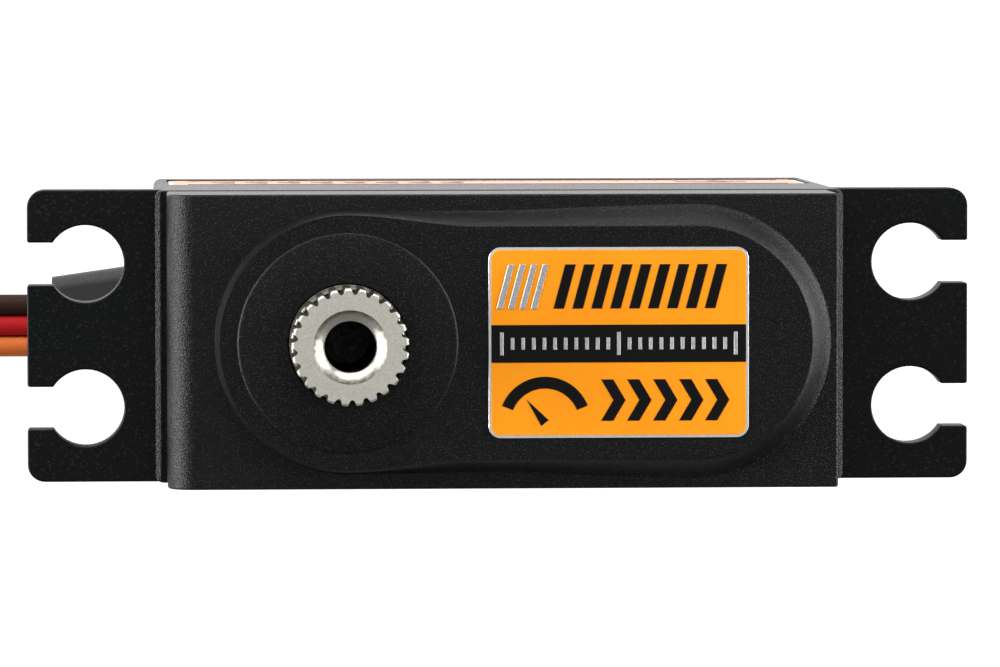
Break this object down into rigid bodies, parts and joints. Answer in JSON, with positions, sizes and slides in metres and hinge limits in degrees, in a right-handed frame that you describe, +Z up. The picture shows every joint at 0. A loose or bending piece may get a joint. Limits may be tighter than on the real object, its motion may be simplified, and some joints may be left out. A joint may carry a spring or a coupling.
{
  "type": "servo motor",
  "caption": "Miniature metal-gear servo motor: black case with slotted end flanges, splined output shaft, label plates and a three-wire lead with plug.",
  "frame": {"origin": "centre of the case's bottom face, under the middle between the flange tips", "axes": "+Z up along the output shaft, -X towards the output shaft end where the lead leaves, +Y towards the side that carries the side label"},
  "size_m": [0.0925, 0.0152, 0.0323],
  "materials": {
    "case_nylon": "glass-filled nylon, fine moulded grain",
    "screw_steel": "black oxide steel",
    "bright_steel": "ground steel",
    "nickel_steel": "satin nickel-plated steel",
    "gear_brass": "hobbed brass",
    "can_steel": "drawn steel",
    "copper": "enamelled copper",
    "magnet": "sintered magnet",
    "cream_plastic": "moulded",
    "board": "solder mask",
    "chip": "moulded",
    "tantalum": "moulded",
    "tinned": "tinned",
    "label": "printed foil, laminated",
    "rubber": "soft PVC",
    "wire_brown": "PVC insulation",
    "wire_red": "PVC insulation",
    "wire_orange": "PVC insulation",
    "plug": "moulded nylon"
  },
  "bodies": {
    "case": {"bottom_case": "case_nylon", "middle_case": "case_nylon", "top_case": "case_nylon", "case_screw_1": "screw_steel", "case_screw_2": "screw_steel", "case_screw_3": "screw_steel", "case_screw_4": "screw_steel", "motor_screw_1": "bright_steel", "motor_screw_2": "bright_steel", "upper_bearing_outer_ring": "bright_steel", "lower_bearing_outer_ring": "bright_steel", "gear_pin_1": "bright_steel", "gear_pin_2": "bright_steel", "gear_pin_3": "bright_steel", "motor_can": "can_steel", "pot_housing": "can_steel", "motor_brush_1": "copper", "motor_brush_2": "copper", "motor_magnet_1": "magnet", "motor_magnet_2": "magnet", "motor_end_cap": "cream_plastic", "pot_plate": "cream_plastic", "control_board": "board", "microcontroller": "chip", "motor_driver_1": "chip", "motor_driver_2": "chip", "capacitor": "tantalum", "motor_terminal_1": "tinned", "motor_terminal_2": "tinned", "pot_pin_1": "tinned", "pot_pin_2": "tinned", "pot_pin_3": "tinned", "plug_contact_1": "tinned", "plug_contact_2": "tinned", "plug_contact_3": "tinned", "top_label": "label", "side_label": "label", "lead_grommet": "rubber", "lead_tie": "rubber", "ground_tail": "wire_brown", "power_tail": "wire_red", "lead_run": "wire_red", "lead_hank": "wire_red", "signal_tail": "wire_orange", "lead_end": "wire_orange", "plug_housing": "plug"},
    "motor_rotor": {"motor_shaft": "bright_steel", "motor_armature": "copper", "motor_commutator": "copper", "motor_pinion": "gear_brass"},
    "gear_1_body": {"gear_1": "gear_brass"},
    "gear_2_body": {"gear_2": "gear_brass"},
    "gear_3_body": {"gear_3": "bright_steel"},
    "output": {"output_gear": "nickel_steel", "upper_bearing_inner_ring": "bright_steel", "lower_bearing_inner_ring": "bright_steel", "pot_rotor": "cream_plastic"},
    "upper_cage": {"upper_bearing_ball_cage": "bright_steel"},
    "lower_cage": {"lower_bearing_ball_cage": "bright_steel"}
  },
  "joints": [
    {"name": "motor_spin", "type": "hinge", "parent": "case", "child": "motor_rotor", "pos_m": [0.01006, 0, 0.012], "axis": [0, 0, 1], "range_deg": [-5740, 5740]},
    {"name": "gear_1_spin", "type": "hinge", "parent": "case", "child": "gear_1_body", "pos_m": [0.00631, 0.00275, 0.021], "axis": [0, 0, 1], "range_deg": [-2350, 2350]},
    {"name": "gear_2_spin", "type": "hinge", "parent": "case", "child": "gear_2_body", "pos_m": [0.00325, -0.0017, 0.022], "axis": [0, 0, 1], "range_deg": [-783, 783]},
    {"name": "gear_3_spin", "type": "hinge", "parent": "case", "child": "gear_3_body", "pos_m": [-0.00059, 0.0021, 0.023], "axis": [0, 0, 1], "range_deg": [-261, 261]},
    {"name": "output_spin", "type": "hinge", "parent": "case", "child": "output", "pos_m": [-0.0081, 0, 0.0285], "axis": [0, 0, 1], "range_deg": [-90, 90]},
    {"name": "upper_cage_spin", "type": "hinge", "parent": "case", "child": "upper_cage", "pos_m": [-0.0081, 0, 0.0265], "axis": [0, 0, 1], "range_deg": [-40, 40]},
    {"name": "lower_cage_spin", "type": "hinge", "parent": "case", "child": "lower_cage", "pos_m": [-0.0081, 0, 0.0191], "axis": [0, 0, 1], "range_deg": [-38, 38]}
  ],
  "couplings": [
    {"joint": "gear_1_spin", "follows": "motor_spin", "ratio": -0.40909},
    {"joint": "gear_2_spin", "follows": "motor_spin", "ratio": 0.13636},
    {"joint": "gear_3_spin", "follows": "motor_spin", "ratio": -0.045455},
    {"joint": "output_spin", "follows": "motor_spin", "ratio": 0.015674},
    {"joint": "upper_cage_spin", "follows": "motor_spin", "ratio": 0.0068794},
    {"joint": "lower_cage_spin", "follows": "motor_spin", "ratio": 0.0065308}
  ]
}
